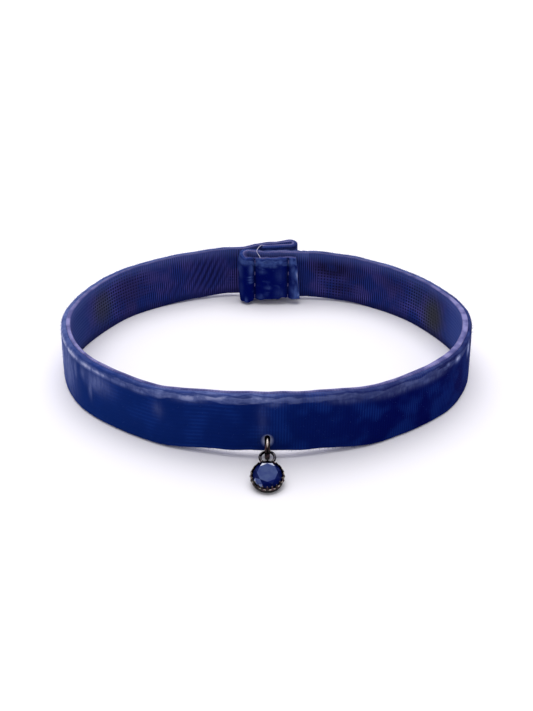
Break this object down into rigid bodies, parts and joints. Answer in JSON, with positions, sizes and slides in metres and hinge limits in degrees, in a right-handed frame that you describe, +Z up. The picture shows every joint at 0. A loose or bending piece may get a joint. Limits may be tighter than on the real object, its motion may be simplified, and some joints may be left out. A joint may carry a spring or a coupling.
{
  "type": "velvet bracelet",
  "caption": "Velvet ribbon bracelet that closes with a folded, stitched overlap and carries a small round stone charm on a jump ring.",
  "frame": {"origin": "middle of the bracelet's footprint on the surface it stands on, under the middle of its width and depth", "axes": "+X to the right along the loop's width, -Y towards the charm, +Y towards the closure, +Z up along the ribbon's width"},
  "size_m": [0.0696, 0.063, 0.0113],
  "materials": {
    "velvet": "matte pile",
    "pad": "matte",
    "gunmetal": "polished gunmetal plating",
    "stone": "gloss"
  },
  "bodies": {
    "root": {"velvet_band": "velvet", "closure_pad": "pad", "jump_ring": "gunmetal", "charm_setting": "gunmetal", "charm_stone": "stone"}
  },
  "joints": []
}
